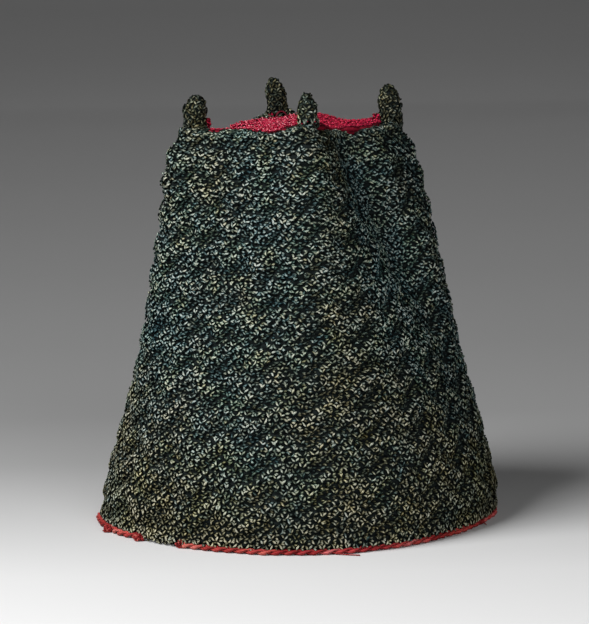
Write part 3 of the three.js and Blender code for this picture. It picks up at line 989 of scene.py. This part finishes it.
def makeHemCord():
    start = math.radians(hemCord["gapEnd"])
    length = wholeTurn - math.radians(hemCord["gapEnd"] - hemCord["gapStart"])
    turn = start + np.linspace(0, 1, hemCord["steps"]) * length
    middle = wallPoint(turn, 0 * turn, -hemCord["tuck"] + hemCord["slack"] * nearness(turn, -124, 20))
    middle[:, 2] = hemCord["height"] / 2
    run = runAlong(middle)
    outward = wallPoint(turn, 0 * turn, 1.0) - wallPoint(turn, 0 * turn, 0.0)
    # Hand-spun plies sway a little and swell once in each turn
    sway = hemCord["sway"] * (np.sin(run / (5.3 * mm)) + np.sin(run / (3.1 * mm) + 1))
    offset = hemCord["height"] / 2 - hemCord["plyRadius"]
    # Both tints change slowly along the cord, counted in rings of points
    place = np.arange(hemCord["steps"] * hemCord["sides"] + 2) / hemCord["sides"]
    for ply in (0, 1):
        twist = run / hemCord["pitch"] * wholeTurn + ply * math.pi
        path = moved(middle, (outward, offset * np.cos(twist) + sway))
        path[:, 2] += offset * np.sin(twist)
        radius = hemCord["plyRadius"] * (1 + hemCord["swell"] * np.cos(2 * twist + 1.2))
        tint = 0.55 + 0.2 * np.sin(place * 0.11 + ply) + 0.15 * np.sin(place * 0.043 + 2 * ply)
        warmth = 0.5 + 0.4 * np.sin(place * 0.031 + ply)
        tube = tubeAlong(path, radius, hemCord["sides"])
        addYarn(f"hem_cord_ply_{ply + 1}", redCord, *tube, tint, warmth, ["hem_cord"])


def makeTuft(name, material, middle, reach, count, length, width, seed):
    # A small knot of yarn: strands that lie on a ball, spread over it by the golden angle. All lengths
    # are in millimetres.
    rng = np.random.default_rng(seed)
    index = np.arange(count) + 0.5
    up = 1 - 2 * index / count
    angle = index * 2.39996
    outward = np.stack([np.sqrt(1 - up**2) * np.cos(angle), np.sqrt(1 - up**2) * np.sin(angle), up], -1)
    along = rng.normal(0, 1, (count, 3)) + [0, 0, 0.3]
    place = (np.array(middle) + outward * np.array(reach)) * mm
    lengths = length * mm * rng.uniform(0.8, 1.2, count)
    widths = width * mm * rng.uniform(0.8, 1.2, count)
    layStrands(name, material, place, along, outward, lengths, widths, rng.beta(2.0, 2.4, count),
               rng.uniform(0, 1, count))


def makeThread(name, material, path, radius, tint):
    # A loose thread through a few places in millimetres, rounded with a cubic between each two of them
    path = np.array(path) * mm
    run = runAlong(path)
    table = {"height": run / run[-1], "x": path[:, 0], "y": path[:, 1], "z": path[:, 2]}
    fine = np.stack([smoothTable(table, axis, np.linspace(0, 1, 40)) for axis in "xyz"], -1)
    addYarn(name, material, *tubeAlong(fine, radius * mm, 6), tint, 0.4)


def hemSpot(angle, out, level):
    # A place beside the cord under the hem, in millimetres
    spot = wallPoint(np.array([math.radians(angle)]), np.array([0.0]), out * mm)[0] / mm
    return (spot[0], spot[1], level)


# The middle, the reach, the number, length and width of the strands, and the seed of each tuft
hemTufts = [
    ("hem_cord_nub_1", redCord, hemSpot(-121.5, 3.2, 1.5), 1.4, 30, 2.3, 0.95, 31),
    ("hem_cord_nub_2", redCord, hemSpot(-106.5, 2.0, 1.6), 1.4, 30, 2.3, 0.95, 32),
    ("hem_cord_nub_3", redCord, hemSpot(-90.5, 0.8, 1.5), 1.4, 30, 2.3, 0.95, 33),
]
crownTufts = [
    ("crown_tuft_1", redYarn, (-25.0, -27.0, 174.6), (0.8, 0.8, 2.0), 18, 1.9, 1.05, 51),
    ("crown_tuft_2", redYarn, (-29.0, 25.2, 174.2), (1.0, 1.0, 0.6), 6, 1.9, 1.05, 52),
    ("crown_tuft_3", redYarn, (28.6, 24.0, 174.8), (1.5, 1.5, 1.7), 18, 1.9, 1.05, 53),
    ("peak_back_tuft", darkYarn, (-25.2, 33.6, 174.6), (2.2, 2.2, 1.8), 22, 2.6, 1.1, 41),
]

# The places, the radius and the tint of each loose thread
threads = [
    ("hem_cord_thread", redCord, [hemSpot(-46, -0.2, 1.2), hemSpot(-44.5, 1.6, 0.7), hemSpot(-42, 3.6, 0.4),
                                  hemSpot(-39, 6.5, 0.4)], 0.28, 0.55),
    ("hem_cord_wisp", redCord, [hemSpot(9, -0.2, 1.2), hemSpot(11, 1.4, 2.2), hemSpot(12, 2.6, 1.2),
                                hemSpot(12.5, 3.4, 0.4)], 0.22, 0.55),
    ("crown_loop", redYarn, [(-26.2, 24.6, 172.6), (-25.6, 25.4, 175.2), (-24.0, 26.4, 176.0),
                             (-22.5, 27.2, 175.1), (-22.0, 27.6, 172.6)], 0.33, 0.9),
]

makeHemCord()
for tuft in hemTufts:
    makeTuft(*tuft)
for thread in threads:
    makeThread(*thread)
for tuft in crownTufts:
    makeTuft(*tuft)
print("hem cord and loose ends made")

# The studio: a pale floor that turns up into a wall behind, a soft key light and a fill
studio = {
    "eye": (0.75491, -1.05834, 0.275),
    "aim": (0.0, 0.0, 0.090),
    "lens": 171.75,
    "sensor": 36,
    "roll": -1.0,
    "heading": 35.5,        # degrees, the way the camera looks along the floor
    "lightAim": (0, 0, 0.08),
}

floor = {
    "bend": 0.8,
    "back": 2.4,
    "front": 2.2,
    "side": 5.0,
    "tall": 4.0,
    # How pale the paper is, by metres behind the hat
    "tones": [(-0.3, 0.84), (-0.12, 0.725), (0.0, 0.535), (0.12, 0.36), (0.25, 0.30), (0.5, 0.31),
              (0.85, 0.36), (1.2, 0.44), (1.6, 0.555), (2.1, 0.715), (2.33, 0.765), (2.4, 0.78),
              (2.49, 0.74), (2.6, 0.605), (2.69, 0.51), (2.81, 0.42)],
}


def aimAt(thing, place, aim, roll=0.0):
    # Looks along -Z from place to aim, then rolls about that line
    look = (Vector(aim) - Vector(place)).to_track_quat("-Z", "Y").to_matrix().to_4x4()
    thing.matrix_world = Matrix.Translation(place) @ look @ Matrix.Rotation(math.radians(roll), 4, "Z")


def makeCamera():
    camera = bpy.data.cameras.new("camera")
    camera.sensor_fit = "VERTICAL"
    camera.sensor_height = studio["sensor"]
    camera.lens = studio["lens"]
    camera.clip_start = 0.01
    thing = addObject("camera", camera)
    aimAt(thing, studio["eye"], studio["aim"], studio["roll"])
    bpy.context.scene.camera = thing


def makeFloor():
    # A sweep: a flat floor, a quarter circle and a wall, drawn as one profile across the view
    angle = np.linspace(0, math.pi / 2, 24)
    wallPlace = floor["back"] + floor["bend"]
    away = np.concatenate([[-floor["front"]], floor["back"] + floor["bend"] * np.sin(angle), [wallPlace]])
    level = np.concatenate([[0.0], floor["bend"] * (1 - np.cos(angle)), [floor["tall"]]])
    heading = math.radians(studio["heading"])
    ahead = np.array([-math.sin(heading), math.cos(heading), 0])
    right = np.array([math.cos(heading), math.sin(heading), 0])
    profile = away[:, None] * ahead + level[:, None] * [0, 0, 1.0]
    points = np.concatenate([profile - floor["side"] * right, profile + floor["side"] * right])
    count = len(profile)
    row = np.arange(count - 1)
    faces = np.stack([row, row + count, row + count + 1, row + 1], -1)
    mesh = makeMesh("floor", points, faces.ravel(), np.full(len(faces), 4))
    thing = addObject("floor", mesh)
    material, tree, shader, place = startMaterial("floorPaper", 0.85)
    behind, aside = [addNode(tree, "ShaderNodeVectorMath", {0: place, 1: tuple(way)},
                             operation="DOT_PRODUCT").outputs["Value"] for way in (ahead, right)]
    near, far = floor["tones"][0][0], 3.0
    stops = [((place - near) / (far - near), (tone,) * 3) for place, tone in floor["tones"]]
    tone = addRamp(tree, addRange(tree, behind, near, far, 0.0, 1.0), stops)
    # Paler towards the right behind the hat, and towards the left before it
    slope = addRange(tree, behind, -0.1, 0.3, -0.12, 0.25)
    slope = addMath(tree, "MULTIPLY", slope, addRange(tree, behind, 1.0, 2.4, 1.0, 0.0))
    gain = addMath(tree, "ADD", addMath(tree, "MULTIPLY", aside, slope), 1.0)
    tone = addMix(tree, 1.0, tone, addGrey(tree, gain), "MULTIPLY")
    tree.links.new(tone, shader.inputs["Base Color"])
    mesh.materials.append(material)


def addLight(name, place, size, power):
    light = bpy.data.lights.new(name, "AREA")
    light.shape = "DISK"
    light.size = size
    light.energy = power
    aimAt(addObject(name, light), place, studio["lightAim"])


makeCamera()
makeFloor()
addLight("key", (-0.50, -1.10, 1.25), 1.05, 38)
addLight("fill", (1.25, -0.95, 0.6), 1.1, 12.5)
bpy.context.scene.view_settings.view_transform = "Standard"
world = bpy.data.worlds.new("studio")
world.use_nodes = True
world.node_tree.nodes["Background"].inputs["Strength"].default_value = 0.2
bpy.context.scene.world = world
print("studio made")
